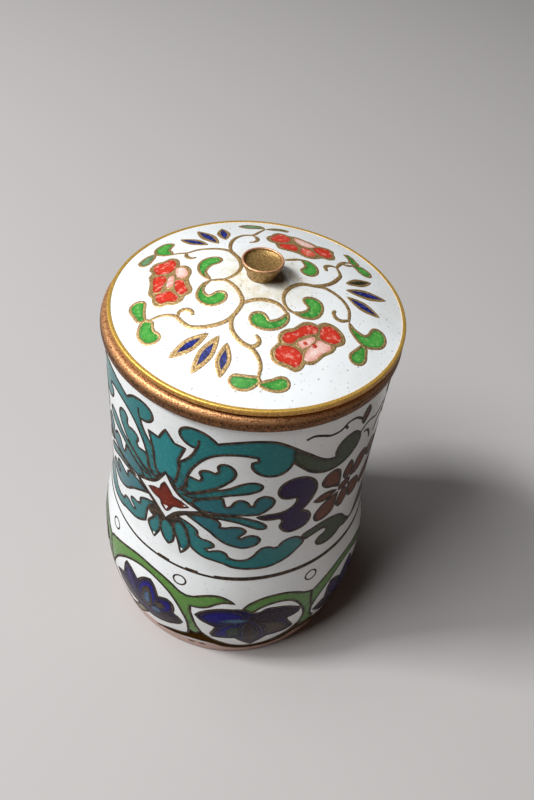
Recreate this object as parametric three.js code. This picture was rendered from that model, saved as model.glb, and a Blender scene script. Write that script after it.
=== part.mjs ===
// A small round enamelled box with a lift-off domed lid.
//
// The vessel is thin copper sheet with enamel fused to both faces. Its lower
// register bellies out, draws in at a waist and runs up nearly straight to a
// half-round metal band at the mouth. The lid is a low enamelled dome in a
// metal edge ring, with a small turned knob at the top. The ring's spigot
// drops into the mouth and keeps the lid from sliding off.
//
// Units are millimetres. +Z is up, and the origin is the middle of the
// underside, so the box stands on z = 0.

import * as THREE from 'three';

// ---- driving dimensions -----------------------------------------------

const ROUND_STEPS = 64;          // facets round the box
const KNOB_STEPS = 48;           // facets round the knob
const FIT_GAP = 0.3;             // clearance between neighbouring pieces

const WALL = 1.5;                // copper sheet with enamel on both faces
const FLOOR = 1.6;
const FOOT_RADIUS = 26.5;        // outer edge of the ring the box stands on
const FOOT_WIDTH = 2.2;
const FOOT_RECESS = 0.6;         // the underside is dished by this much

const BASE_RADIUS = 26.85;
const BELLY_RADIUS = 28.7;       // widest part of the lower register
const BELLY_HEIGHT = 15.5;
const WAIST_RADIUS = 26.2;
const WAIST_HEIGHT = 36.0;
const MOUTH_RADIUS = 25.85;
const BODY_HEIGHT = 72.3;        // top of the enamelled wall

const RIM_HEIGHT = 2.55;         // half-round band above the wall
const RIM_RADIUS = 26.35;
const RIM_INNER_RADIUS = 23.9;
const RIM_TOP_WIDTH = 1.4;       // flat that the lid rests on

const LID_PLAY = 0.6;            // the lid rests pushed to +X by this much
const DOME_RADIUS = 25.0;        // enamelled surface of the lid
const DOME_RISE = 6.4;
const DOME_POWER = 1.42;         // 2 is a round cap, lower is more peaked
const DOME_WALL = 1.3;
const RING_RADIUS = 25.65;
const RING_HEIGHT = 1.3;
const RING_LEDGE = 0.3;          // shelf under the dome's edge
const SPIGOT_DEPTH = 2.2;
const SPIGOT_WALL = 0.4;

const KNOB_TOP_RADIUS = 3.54;
const KNOB_BASE_RADIUS = 2.52;
const KNOB_HEIGHT = 2.7;
const KNOB_LIP = 0.42;           // width of the lip round the dish
const KNOB_DISH = 0.9;

// ---- values that follow from them -------------------------------------

const rimBottom = BODY_HEIGHT + FIT_GAP;
const rimTop = rimBottom + RIM_HEIGHT;
const ringBottom = rimTop + FIT_GAP;
const ringTop = ringBottom + RING_HEIGHT;
const knobSeatRadius = KNOB_BASE_RADIUS + 0.1;
const knobBottom = domeHeight(knobSeatRadius) + FIT_GAP;
const spigotRadius = RIM_INNER_RADIUS - FIT_GAP - LID_PLAY;

// ---- materials ---------------------------------------------------------

function finish(name, color, roughness, metalness) {
  return new THREE.MeshStandardMaterial({ name, color, roughness, metalness });
}

const whiteEnamel = finish('white_enamel', 0xf2f1ee, 0.18, 0);
const rimMetal = finish('copper_rim', 0xb57a44, 0.38, 1);
const edgeBrass = finish('brass_edge', 0xd8b44a, 0.32, 1);
const knobBrass = finish('knob_brass', 0xa8803c, 0.42, 1);

// ---- shared helpers ----------------------------------------------------

const point = (r, z) => new THREE.Vector2(r, z);

// Turns a profile of (radius, height) points about the Z axis. The profile
// runs anticlockwise in the radius-height plane, so that faces look outwards.
function turned(name, profile, steps, material) {
  const geometry = new THREE.LatheGeometry(profile, steps);
  geometry.rotateX(Math.PI / 2);
  const mesh = new THREE.Mesh(geometry, material);
  mesh.name = name;
  return mesh;
}

// Points on a stretch of an ellipse, from the angle `from` in degrees to
// the angle `to`, centred on (r, z).
function arc(r, z, radiusR, radiusZ, from, to, steps) {
  const points = [];
  for (let i = 0; i <= steps; i += 1) {
    const angle = THREE.MathUtils.degToRad(from + ((to - from) * i) / steps);
    points.push(point(r + radiusR * Math.cos(angle), z + radiusZ * Math.sin(angle)));
  }
  return points;
}

// Height of the dome's upper surface at a distance r from its axis.
function domeHeight(r) {
  return ringTop + DOME_RISE * (1 - (r / DOME_RADIUS) ** DOME_POWER);
}

// ---- vessel ------------------------------------------------------------

// The outer wall as a smooth curve from the foot to the mouth.
function wallCurve() {
  return new THREE.SplineCurve([
    point(FOOT_RADIUS, 0),
    point(BASE_RADIUS + 0.4, 4.5),
    point(BELLY_RADIUS - 0.45, 9.5),
    point(BELLY_RADIUS, BELLY_HEIGHT),
    point(BELLY_RADIUS - 0.35, 22.5),
    point((BELLY_RADIUS + WAIST_RADIUS) / 2 - 0.25, 29.5),
    point(WAIST_RADIUS, WAIST_HEIGHT),
    point(WAIST_RADIUS - 0.25, 46),
    point(MOUTH_RADIUS, 59),
    point(MOUTH_RADIUS, BODY_HEIGHT),
  ]);
}

function makeVessel() {
  const outer = wallCurve().getPoints(16);
  const floorTop = FOOT_RECESS + FLOOR;
  const inner = wallCurve()
    .getPoints(12)
    .filter((p) => p.y > floorTop + WALL)
    .map((p) => point(p.x - WALL, p.y))
    .reverse();
  const cornerRadius = inner[inner.length - 1].x;
  const profile = [
    point(0, FOOT_RECESS),
    point(FOOT_RADIUS - FOOT_WIDTH, FOOT_RECESS),
    point(FOOT_RADIUS - FOOT_WIDTH + 0.3, 0),
    ...outer,
    ...inner,
    point(cornerRadius - 1.2, floorTop),
    point(0, floorTop),
  ];
  return turned('vessel', profile, ROUND_STEPS, whiteEnamel);
}

// ---- metal band at the mouth -------------------------------------------

function makeRimBand() {
  const flatEdge = RIM_INNER_RADIUS + RIM_TOP_WIDTH;
  const bulge = rimBottom + RIM_HEIGHT * 0.35;
  const profile = [
    point(RIM_INNER_RADIUS, rimBottom),
    point(MOUTH_RADIUS + 0.15, rimBottom),
    point(RIM_RADIUS - 0.08, rimBottom + 0.35),
    ...arc(flatEdge, bulge, RIM_RADIUS - flatEdge, rimTop - bulge, 0, 90, 4),
    point(RIM_INNER_RADIUS, rimTop),
    point(RIM_INNER_RADIUS, rimBottom),
  ];
  return turned('rim_band', profile, ROUND_STEPS, rimMetal);
}

// ---- lid ---------------------------------------------------------------

// A hollow dome of even thickness whose edge thins to sit on the ring's ledge.
function makeLidDome() {
  const edge = DOME_RADIUS - FIT_GAP;
  const seat = ringBottom + RING_LEDGE + FIT_GAP;
  const shoulder = edge - 2.1;
  const outerSteps = 8;
  const innerSteps = 5;
  const profile = [];
  for (let i = 0; i <= innerSteps; i += 1) {
    const r = (shoulder * i) / innerSteps;
    profile.push(point(r, domeHeight(Math.max(r, knobSeatRadius)) - DOME_WALL));
  }
  profile.push(point(edge - 1.3, seat));
  profile.push(point(edge, seat));
  for (let i = outerSteps; i >= 1; i -= 1) {
    const r = knobSeatRadius + ((edge - knobSeatRadius) * i) / outerSteps;
    profile.push(point(r, domeHeight(r)));
  }
  profile.push(point(knobSeatRadius, domeHeight(knobSeatRadius)));
  profile.push(point(0, domeHeight(knobSeatRadius)));
  return turned('lid_dome', profile, ROUND_STEPS, whiteEnamel);
}

// An L-shaped ring: the bright edge, the ledge under the dome and the spigot.
function makeLidEdgeRing() {
  const round = 0.25;
  const ledgeTop = ringBottom + RING_LEDGE;
  const spigotFoot = ringBottom - SPIGOT_DEPTH;
  const spigotInner = spigotRadius - SPIGOT_WALL;
  const profile = [
    point(spigotInner, spigotFoot),
    point(spigotRadius, spigotFoot),
    point(spigotRadius, ringBottom),
    point(RING_RADIUS - round, ringBottom),
    point(RING_RADIUS, ringBottom + round),
    ...arc(RING_RADIUS - round, ringTop - round, round, round, 0, 90, 2),
    point(DOME_RADIUS, ringTop),
    point(DOME_RADIUS, ledgeTop),
    point(spigotInner, ledgeTop),
    point(spigotInner, spigotFoot),
  ];
  return turned('lid_edge_ring', profile, ROUND_STEPS, edgeBrass);
}

// A short flared cylinder with a rounded lip and a dished top.
function makeKnob() {
  const top = knobBottom + KNOB_HEIGHT;
  const lip = KNOB_LIP / 2;
  const dishRadius = KNOB_TOP_RADIUS - KNOB_LIP;
  const profile = [
    point(0, knobBottom),
    point(KNOB_BASE_RADIUS, knobBottom),
    point(KNOB_BASE_RADIUS + 0.35, knobBottom + KNOB_HEIGHT * 0.35),
    point(KNOB_TOP_RADIUS - 0.18, top - KNOB_HEIGHT * 0.32),
    ...arc(KNOB_TOP_RADIUS - lip, top - lip, lip, lip, 0, 180, 4),
    point(dishRadius * 0.62, top - KNOB_DISH * 0.8),
    point(0, top - KNOB_DISH),
  ];
  return turned('knob', profile, KNOB_STEPS, knobBrass);
}

// ---- assembly ----------------------------------------------------------

const box = new THREE.Group();
box.add(makeVessel());
box.add(makeRimBand());

const lid = new THREE.Group();
lid.add(makeLidDome());
lid.add(makeLidEdgeRing());
lid.add(makeKnob());
lid.position.x = LID_PLAY;
box.add(lid);

export default box;
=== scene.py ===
# %% [markdown]
# # A small enamelled box with a lift-off lid
#
# The box is cloisonne: thin copper sheet, drawn wires bent into outlines and set on it, and
# coloured glass melted into the cells between them, then ground flush. This lesson dresses the
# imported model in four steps: the enamels and metals, the turned pieces, the ornament of the lid,
# and the ornament of the two registers of the wall.
# Sizes are written in millimetres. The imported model's own frame, which is kept, is in metres.

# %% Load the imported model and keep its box
import math

import bmesh
import bpy
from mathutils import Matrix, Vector


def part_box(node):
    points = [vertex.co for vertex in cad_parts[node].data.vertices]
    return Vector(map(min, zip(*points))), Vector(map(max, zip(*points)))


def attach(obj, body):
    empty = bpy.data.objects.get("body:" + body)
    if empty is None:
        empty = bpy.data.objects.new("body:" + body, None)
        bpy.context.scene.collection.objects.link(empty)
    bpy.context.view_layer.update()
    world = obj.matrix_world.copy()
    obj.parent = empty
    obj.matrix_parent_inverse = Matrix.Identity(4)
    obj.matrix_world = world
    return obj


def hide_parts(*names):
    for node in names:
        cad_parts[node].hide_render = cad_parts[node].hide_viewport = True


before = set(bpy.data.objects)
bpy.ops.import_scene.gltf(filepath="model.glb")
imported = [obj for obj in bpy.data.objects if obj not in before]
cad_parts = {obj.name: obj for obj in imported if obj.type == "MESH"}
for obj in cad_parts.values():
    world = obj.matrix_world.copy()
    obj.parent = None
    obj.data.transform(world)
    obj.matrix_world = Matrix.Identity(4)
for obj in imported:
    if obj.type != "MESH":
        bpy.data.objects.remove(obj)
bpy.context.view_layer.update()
MM = 0.001

# %% [markdown]
# ## Camera
#
# The box is seen from above, a little rolled, from about six times its own radius. The camera
# is placed by distance, elevation and roll round a point on the axis, and then slid sideways
# in its own plane, which keeps the framing without any lens shift.

# %% Camera
CAMERA_AIM_HEIGHT = 30.0
CAMERA_DISTANCE = 162.4
CAMERA_ELEVATION = math.radians(45.67)
CAMERA_ROLL = math.radians(7.5)
CAMERA_SLIDE = (6.3, 15.65)
SENSOR_HEIGHT = 36
LENS_LENGTH = 33.75
NEAR_CLIP = 10.0

level_right = Vector((1, 0, 0))
level_up = Vector((0, math.sin(CAMERA_ELEVATION), math.cos(CAMERA_ELEVATION)))
back = Vector((0, -math.cos(CAMERA_ELEVATION), math.sin(CAMERA_ELEVATION)))
right = level_right * math.cos(CAMERA_ROLL) + level_up * math.sin(CAMERA_ROLL)
up = level_up * math.cos(CAMERA_ROLL) - level_right * math.sin(CAMERA_ROLL)

camera = bpy.data.objects.new("camera", bpy.data.cameras.new("camera"))
bpy.context.scene.collection.objects.link(camera)
camera.data.sensor_fit = "VERTICAL"
camera.data.sensor_height = SENSOR_HEIGHT
camera.data.lens = LENS_LENGTH
camera.data.clip_start = NEAR_CLIP * MM
eye = Vector((0, 0, CAMERA_AIM_HEIGHT)) + back * CAMERA_DISTANCE
eye += right * CAMERA_SLIDE[0] + up * CAMERA_SLIDE[1]
camera.matrix_world.col[0][:3] = right
camera.matrix_world.col[1][:3] = up
camera.matrix_world.col[2][:3] = back
camera.matrix_world.translation = eye * MM
bpy.context.scene.camera = camera
print("camera at", [round(v, 1) for v in eye], "mm")

# %% [markdown]
# ## Floor and light
#
# A pale matt floor and soft studio lamps. The key lamp stands on the left, about fifty degrees
# up, so that the left of the wall is bright and its right turns into warm shade.

# %% Floor and lamps
WARM_WHITE = (1.0, 0.62, 0.44)
SOFT_WHITE = (0.94, 0.97, 1.0)
FLOOR_COLOUR = (0.5, 0.47, 0.45, 1)
FLOOR_ROUGHNESS = 0.9
FLOOR_REACH = 1.5                    # metres from the middle to an edge
LAMP_AIM = Vector((0, 0, 0.05))      # about the middle of the box, in metres
BACKDROP_COLOUR = (0.9, 0.8, 0.74, 1)
BACKDROP_LIGHT = 0.015               # how strongly the backdrop lights the box
BACKDROP_SEEN = 0.5                  # how much brighter it looks to the camera


def make_floor():
    mesh = bpy.data.meshes.new("floor")
    bm = bmesh.new()
    bmesh.ops.create_grid(bm, x_segments=1, y_segments=1, size=FLOOR_REACH)
    bm.to_mesh(mesh)
    bm.free()
    matt_paint = bpy.data.materials.new("pale_backdrop")
    matt_paint.use_nodes = True
    shader = matt_paint.node_tree.nodes["Principled BSDF"]
    shader.inputs["Base Color"].default_value = FLOOR_COLOUR
    shader.inputs["Roughness"].default_value = FLOOR_ROUGHNESS
    mesh.materials.append(matt_paint)
    floor = bpy.data.objects.new("floor", mesh)
    bpy.context.scene.collection.objects.link(floor)
    return floor


def add_lamp(name, direction, distance, size, watts, colour):
    """A square area lamp that looks at the box from (azimuth, elevation) in degrees.

    Its distance and size are in metres.
    """
    lamp = bpy.data.lights.new(name, "AREA")
    lamp.size = size
    lamp.energy = watts
    lamp.color = colour
    holder = bpy.data.objects.new(name, lamp)
    bpy.context.scene.collection.objects.link(holder)
    azimuth, elevation = (math.radians(a) for a in direction)
    away = Vector((math.cos(elevation) * math.cos(azimuth), math.cos(elevation) * math.sin(azimuth),
                   math.sin(elevation)))
    holder.location = LAMP_AIM + away * distance
    holder.rotation_euler = away.to_track_quat("Z", "Y").to_euler()


def make_backdrop():
    """A world that looks pale to the camera and lights the box only a little."""
    world = bpy.data.worlds.new("studio")
    bpy.context.scene.world = world
    world.use_nodes = True
    tree = world.node_tree
    background = tree.nodes["Background"]
    background.inputs["Color"].default_value = BACKDROP_COLOUR
    seen = tree.nodes.new("ShaderNodeLightPath")
    strength = tree.nodes.new("ShaderNodeMath")
    strength.operation = "MULTIPLY_ADD"
    strength.inputs[1].default_value = BACKDROP_SEEN
    strength.inputs[2].default_value = BACKDROP_LIGHT
    tree.links.new(seen.outputs["Is Camera Ray"], strength.inputs[0])
    tree.links.new(strength.outputs["Value"], background.inputs["Strength"])


floor = make_floor()
add_lamp("key", (189, 50), 0.9, 0.16, 6.8, SOFT_WHITE)
add_lamp("front_left", (214, 54), 1.0, 0.36, 5.4, SOFT_WHITE)
add_lamp("high", (160, 76), 1.0, 0.35, 1.6, SOFT_WHITE)
add_lamp("warm_fill", (-30, 28), 0.9, 0.6, 0.16, WARM_WHITE)
make_backdrop()
bpy.context.scene.view_settings.view_transform = "Standard"
print("lamps:", [lamp.name for lamp in bpy.data.lights])

# %% [markdown]
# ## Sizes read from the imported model
#
# The ornament has to lie exactly on the enamel, so the wall's radius at each height and the
# dome's height at each radius are measured on the CAD nodes and joined with a smooth curve.

# %% Measure the wall and the dome
FACING_SHARE = 0.3         # a face whose normal leans less than this to a side doesn't face it
KNOB_CLEARANCE = 2.0       # the flat under the knob lies inside this radius


def rings_facing(node, facing):
    """{(radius, height)} in mm of the faces of a node that point outwards or up, and its centre."""
    low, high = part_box(node)
    centre = (low + high) / 2
    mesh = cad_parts[node].data
    rings = set()
    for face in mesh.polygons:
        away = face.center - centre
        outwards = Vector((away.x, away.y, 0)).normalized().dot(face.normal)
        if (outwards if facing == "out" else face.normal.z) < FACING_SHARE:
            continue
        for index in face.vertices:
            place = (mesh.vertices[index].co - centre) / MM
            rings.add((round(math.hypot(place.x, place.y), 2), round(place.z + centre.z / MM, 2)))
    return rings, centre / MM


def smooth_through(pairs):
    """A smooth function through (x, y) pairs, with even slopes where they meet."""
    pairs = sorted(pairs)
    last = len(pairs) - 1

    def slope(i):
        before, after = pairs[max(i - 1, 0)], pairs[min(i + 1, last)]
        return (after[1] - before[1]) / (after[0] - before[0])

    def value(x):
        i = 0
        while i < last - 1 and pairs[i + 1][0] < x:
            i += 1
        (x0, y0), (x1, y1) = pairs[i], pairs[i + 1]
        width = x1 - x0
        t = (x - x0) / width
        if t < 0:
            return y0 + slope(i) * (x - x0)
        if t > 1:
            return y1 + slope(i + 1) * (x - x1)
        bend = slope(i) * width * t * (1 - t) ** 2 - slope(i + 1) * width * t * t * (1 - t)
        return y0 + (y1 - y0) * t * t * (3 - 2 * t) + bend

    return value


def thinned(pairs, spacing):
    """The pairs at least `spacing` apart along x, so that a smooth curve has even slopes."""
    kept = []
    for pair in sorted(pairs):
        if not kept or pair[0] - kept[-1][0] >= spacing:
            kept.append(pair)
    return kept


wall_rings, _ = rings_facing("vessel", "out")
wall_radius = smooth_through(thinned([(z, r) for r, z in wall_rings], spacing=2.0))
dome_rings, lid_centre = rings_facing("lid_dome", "up")
rings_round_knob = [(r, z) for r, z in dome_rings if r > KNOB_CLEARANCE]
dome_height = smooth_through(thinned(rings_round_knob, spacing=1.0))
KNOB_SEAT = min(r for r, z in rings_round_knob)
print("wall radius at 2, 15.5, 36 and 60 mm:", [round(wall_radius(z), 2) for z in (2, 15.5, 36, 60)])
print("lid centre:", [round(v, 2) for v in lid_centre], "knob seat radius:", KNOB_SEAT)


def node_span(node):
    """Lowest and highest corner of a node in mm."""
    low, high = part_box(node)
    return low / MM, high / MM


WALL_TOP = node_span("rim_band")[0].z          # the wall meets the band's lower edge
RIM_TOP = node_span("rim_band")[1].z
RIM_RADIUS = node_span("rim_band")[1].x
RING_TOP = node_span("lid_edge_ring")[1].z
RING_RADIUS = node_span("lid_edge_ring")[1].y
KNOB_FOOT, KNOB_TOP = (corner.z for corner in node_span("knob"))
KNOB_RADIUS = node_span("knob")[1].y
print("band", WALL_TOP, RIM_TOP, RIM_RADIUS, "ring", RING_TOP, RING_RADIUS, "knob", KNOB_FOOT, KNOB_TOP)

# %% [markdown]
# ## Materials
#
# Two families: glass and metal. Enamel is glass fused at about 800 degrees, so its face is
# glossy with the broad waviness of a ground and fire-polished surface, and it is peppered with
# tiny pits where bubbles were cut open. Each colour pools and mottles, because it was laid as
# wet grains. The metals are copper and brass, worn bright where hands touch and brown elsewhere.
# The lighter tops of the copper band and the brass edge are painted highlights.

# %% Helpers for materials
def linear(hex_colour):
    """An sRGB hex colour as linear RGBA."""
    channels = [int(hex_colour[i:i + 2], 16) / 255 for i in (0, 2, 4)]
    return [c / 12.92 if c <= 0.04045 else ((c + 0.055) / 1.055) ** 2.4 for c in channels] + [1]


def add_node(tree, kind, settings=None, **links):
    """Adds a node, sets its properties and sockets, and links sockets given as (node, output).

    A socket is named with underscores for spaces, or as i0, i1 for its number.
    """
    node = tree.nodes.new(kind)
    for name, value in (settings or {}).items():
        setattr(node, name, value)
    for name, value in links.items():
        socket = node.inputs[int(name[1:])] if name[1:].isdigit() else node.inputs[name.replace("_", " ")]
        if isinstance(value, tuple) and isinstance(value[0], bpy.types.Node):
            tree.links.new(value[0].outputs[value[1]], socket)
        else:
            socket.default_value = value
    return node


def ramp_stops(node, stops):
    """Sets a colour ramp to (position, hex colour) stops."""
    elements = node.color_ramp.elements
    while len(elements) < len(stops):
        elements.new(1.0)
    for element, (position, colour) in zip(elements, stops):
        element.position = position
        element.color = linear(colour)


def new_material(name, **values):
    """A material with one Principled shader, its plain values set on the sockets.

    Also gives the shader, and the place on the object as a (node, output) pair.
    """
    material = bpy.data.materials.new(name)
    material.use_nodes = True
    tree = material.node_tree
    shader = tree.nodes["Principled BSDF"]
    for socket, value in values.items():
        shader.inputs[socket.replace("_", " ")].default_value = value
    return material, tree, shader, (add_node(tree, "ShaderNodeTexCoord"), "Object")

# %% [markdown]
# The helpers below take and give (node, output) pairs, so that one can feed the next.

# %% Helpers for patterns
def noise(tree, place, size, **values):
    """Cloudy noise with patches about `size` mm wide."""
    return add_node(tree, "ShaderNodeTexNoise", Vector=place, Scale=1 / (size * MM), **values), "Fac"


def maths(tree, operation, *values):
    """One maths node on numbers and (node, output) pairs."""
    sockets = {f"i{number}": value for number, value in enumerate(values)}
    return add_node(tree, "ShaderNodeMath", {"operation": operation}, **sockets), "Value"


def remap(tree, source, low, high, to_low=0.0, to_high=1.0):
    """Stretches what lies between low and high over to_low to to_high, and holds it beyond."""
    return add_node(tree, "ShaderNodeMapRange", Value=source, From_Min=low, From_Max=high,
                    To_Min=to_low, To_Max=to_high), "Result"


def height_on(tree, place, source, raggedness):
    """The height above the floor, made uneven by up to `raggedness` mm."""
    parts = add_node(tree, "ShaderNodeSeparateXYZ", Vector=place)
    return maths(tree, "MULTIPLY_ADD", source, raggedness * MM, (parts, "Z"))


def tinted_where(tree, colour, share, tint):
    """Mixes a tint over a colour by a share."""
    return add_node(tree, "ShaderNodeMix", {"data_type": "RGBA"}, Factor=share, A=colour,
                    B=linear(tint)), "Result"


def feed(tree, source, shader, socket):
    tree.links.new(source[0].outputs[source[1]], shader.inputs[socket])


def add_relief(tree, shader, source, strength, depth):
    """Bumps the surface by up to `depth` mm."""
    bump = add_node(tree, "ShaderNodeBump", Height=source, Strength=strength, Distance=depth * MM)
    feed(tree, (bump, "Normal"), shader, "Normal")

# %% [markdown]
# ### Enamel
#
# Vitreous enamel, fired and ground flush. To the eye that means a hard clear gloss (roughness
# near 0.15), colour that is a little uneven over a few millimetres, dark pinholes one to three
# tenths of a millimetre wide, and reflections that wander slightly.

# %% Enamel
ENAMEL_ROUGHNESS = 0.16
ENAMEL_GLOSS = 0.4
PIT_SPACING = 0.62         # a pit can sit about this far from the next
PIT_PATCH = 0.7            # pits are wide in some patches this big and absent from others


def enamel(name, colours, mottle, pits, pit_colour="5A4A40", foot=None, stain=None):
    """Fused glass: `colours` from its palest to its darkest patch, mottle size in mm.

    `pits` is how wide the pinholes are. `foot` is (colour, height): a tint below a height.
    `stain` is (colour, centre, radius): old polish and dirt gathered round a centre. All in mm.
    """
    material, tree, shader, place = new_material(name, Roughness=ENAMEL_ROUGHNESS,
                                                 Specular_IOR_Level=ENAMEL_GLOSS)
    cloud = noise(tree, place, mottle, Detail=4.0, Roughness=0.62)
    base = add_node(tree, "ShaderNodeValToRGB", Fac=cloud)
    share = 1 / (len(colours) - 1)
    ramp_stops(base, [(0.3 + 0.4 * i * share, c) for i, c in enumerate(colours)])
    colour = (base, "Color")
    ragged = noise(tree, place, 1.6, Detail=5.0, Roughness=0.7)
    if foot:
        tint, top = foot
        below = remap(tree, height_on(tree, place, ragged, 0.9), (top + 1.0) * MM, top * MM)
        colour = tinted_where(tree, colour, below, tint)
    if stain:
        tint, centre, radius = stain
        away = add_node(tree, "ShaderNodeVectorMath", {"operation": "DISTANCE"}, i0=place,
                        i1=[c * MM for c in centre])
        near = remap(tree, (away, "Value"), radius * MM, 0.2 * radius * MM)
        streak = remap(tree, ragged, 0.4, 0.62, to_low=0.25)
        colour = tinted_where(tree, colour, maths(tree, "MULTIPLY", near, streak), tint)
    grain = add_node(tree, "ShaderNodeTexVoronoi", Vector=place, Scale=1 / (PIT_SPACING * MM), Randomness=1.0)
    patch = noise(tree, place, PIT_PATCH, Detail=0.0)
    width = maths(tree, "MULTIPLY_ADD", patch, 0.5 * pits, -0.145 * pits)
    pit = maths(tree, "LESS_THAN", (grain, "Distance"), width)
    depth = remap(tree, ragged, 0.42, 0.6, 0.15, 0.75)
    colour = tinted_where(tree, colour, maths(tree, "MULTIPLY", pit, depth), pit_colour)
    feed(tree, colour, shader, "Base Color")
    add_relief(tree, shader, noise(tree, place, 5.0, Detail=2.0), strength=0.25, depth=0.25)
    return material


WHITES = ["F6F6F4", "F0F1F0", "E8E8E5"]
wall_white = enamel("white_wall_enamel", WHITES, mottle=9.0, pits=0.9, pit_colour="5C5850",
                    foot=("BE907C", 4.4))
lid_white = enamel("white_lid_enamel", WHITES, mottle=9.0, pits=1.2, pit_colour="7E7E7A",
                   stain=("CDBE98", (lid_centre.x, lid_centre.y, RING_TOP + 6.0), 11.0))
lining_enamel = enamel("turquoise_counter_enamel", ["3E8E96", "2F7C86", "226672"], mottle=6.0, pits=0.8)
print("enamels:", wall_white.name, lid_white.name, lining_enamel.name)

# %% [markdown]
# ### Metal
#
# Brass and copper, drawn, turned and polished, then dulled by age. The colour and the roughness
# both wander over a millimetre or less, where the tarnish has been rubbed through.

# %% Metal
GRAIN_SIZE = 0.3
GRAIN_DEPTH = 0.08
SPECKLE_SIZE = 0.28
BAND_RAGGEDNESS = 0.3


def worn_metal(name, bright, dull, roughness, wear, share, polish, grain=0.0, band=None, speckle=None):
    """A metal whose bright colour shows through its tarnish, in patches `wear` mm wide.

    `share` of it is dull. `polish` is how metallic it looks: tarnish is oxide, which scatters
    light like paint. `grain` is how strong its fine relief is.
    `band` is (colour, low, high): another colour that takes over from height low to high, in mm.
    On the copper band and the brass edge it is a painted highlight on the top.
    `speckle` is a colour sprinkled over it all where its polish is worn.
    """
    material, tree, shader, place = new_material(name, Metallic=polish)
    patch = noise(tree, place, wear, Detail=5.0, Roughness=0.72)
    mix = add_node(tree, "ShaderNodeValToRGB", Fac=patch)
    middle = 0.3 + 0.4 * share
    ramp_stops(mix, [(middle - 0.1, dull), (middle + 0.1, bright)])
    colour = (mix, "Color")
    if band:
        tint, low, high = band
        lift = BAND_RAGGEDNESS / 2
        height = height_on(tree, place, patch, BAND_RAGGEDNESS)
        colour = tinted_where(tree, colour, remap(tree, height, (low + lift) * MM, (high + lift) * MM), tint)
    if speckle:
        worn = remap(tree, noise(tree, place, SPECKLE_SIZE, Detail=2.0), 0.5, 0.62)
        colour = tinted_where(tree, colour, worn, speckle)
    feed(tree, colour, shader, "Base Color")
    feed(tree, remap(tree, patch, 0.3, 0.7, roughness + 0.12, roughness - 0.06), shader, "Roughness")
    if grain:
        add_relief(tree, shader, noise(tree, place, GRAIN_SIZE, Detail=3.0), grain, GRAIN_DEPTH)
    return material


gilt_wire = worn_metal("gilt_brass_wire", "D8B478", "8A6C46", roughness=0.5, wear=0.35, share=0.5,
                       grain=0.8, polish=0.6)
dark_wire = worn_metal("tarnished_brass_wire", "604830", "281C12", roughness=0.5, wear=1.0, share=0.62,
                       polish=0.6)
# the band colour on the crown is a painted highlight where it faces up; the darker copper below it is partly
# patina, partly painted shade
rim_copper = worn_metal("brushed_copper", "7C5632", "3C2616", roughness=0.46, wear=0.45, share=0.55,
                        grain=1.0, band=("D69E6C", RIM_TOP - 0.95, RIM_TOP - 0.4), polish=0.75,
                        speckle="96603A")
# the bright yellow band colour on the rounded top of the brass edge is a painted highlight where it faces up
edge_brass = worn_metal("polished_brass_edge", "D29A58", "94602E", roughness=0.42, wear=0.4, share=0.45,
                        grain=0.9, band=("F4C460", RING_TOP - 0.35, RING_TOP - 0.1), polish=0.7,
                        speckle="D8A850")
knob_brass = worn_metal("grained_knob_brass", "C29C60", "7E6236", roughness=0.46, wear=0.45, share=0.5,
                        grain=1.0, band=("EEB08A", KNOB_TOP - 0.23, KNOB_TOP - 0.01), polish=0.7)
print("metals:", [m.name for m in (gilt_wire, dark_wire, rim_copper, edge_brass, knob_brass)])

# %% [markdown]
# ## The turned pieces
#
# Each of them was raised or spun on a lathe, so each is a profile turned about an axis. The CAD
# pieces have sixty-four flats and gaps of 0.3 mm between them. The dressed ones have more steps
# and close those gaps, and stay inside the same limits.

# %% Helpers for turned pieces
TURN_STEPS = 160
SHARP_ANGLE = math.radians(35)
MERGE_DISTANCE = 0.002


def finish_piece(name, bm, *materials):
    """Makes an object of a bmesh in metres, smooth except at sharp edges, riding on the box."""
    mesh = bpy.data.meshes.new(name)
    bm.to_mesh(mesh)
    bm.free()
    for material in materials:
        mesh.materials.append(material)
    mesh.polygons.foreach_set("use_smooth", [True] * len(mesh.polygons))
    mesh.set_sharp_from_angle(angle=SHARP_ANGLE)
    piece = bpy.data.objects.new(name, mesh)
    bpy.context.scene.collection.objects.link(piece)
    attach(piece, "root")
    print(f"{name}: {sum(len(p.vertices) - 2 for p in mesh.polygons)} triangles")
    return piece


def turned(profile, centre=Vector((0, 0, 0)), steps=TURN_STEPS):
    """A closed bmesh turned from (radius, height) points in mm about an upright axis."""
    bm = bmesh.new()
    corners = [bm.verts.new(Vector((centre.x + r, centre.y, z)) * MM) for r, z in profile]
    edges = [bm.edges.new(pair) for pair in zip(corners, corners[1:])]
    if profile[0][0] > 0:
        edges.append(bm.edges.new((corners[-1], corners[0])))
    axis = Vector((centre.x, centre.y, 0)) * MM
    bmesh.ops.spin(bm, geom=corners + edges, cent=axis, axis=(0, 0, 1), angle=math.tau, steps=steps,
                   use_merge=True)
    bmesh.ops.remove_doubles(bm, verts=bm.verts, dist=MERGE_DISTANCE * MM)
    bmesh.ops.recalc_face_normals(bm, faces=bm.faces)
    return bm


def stretch_of(curve, start, end, count):
    """count + 1 values from start to end, each with the curve's value there."""
    steps = [start + (end - start) * i / count for i in range(count + 1)]
    return [(s, curve(s)) for s in steps]

# %% Vessel
ENAMEL_INSET = 0.09        # the enamel lies this far inside the CAD wall, level with the wires
WALL_THICKNESS = 1.5
FOOT_INNER = 24.3
FOOT_RECESS = 0.6
FLOOR_TOP = 2.2


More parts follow.
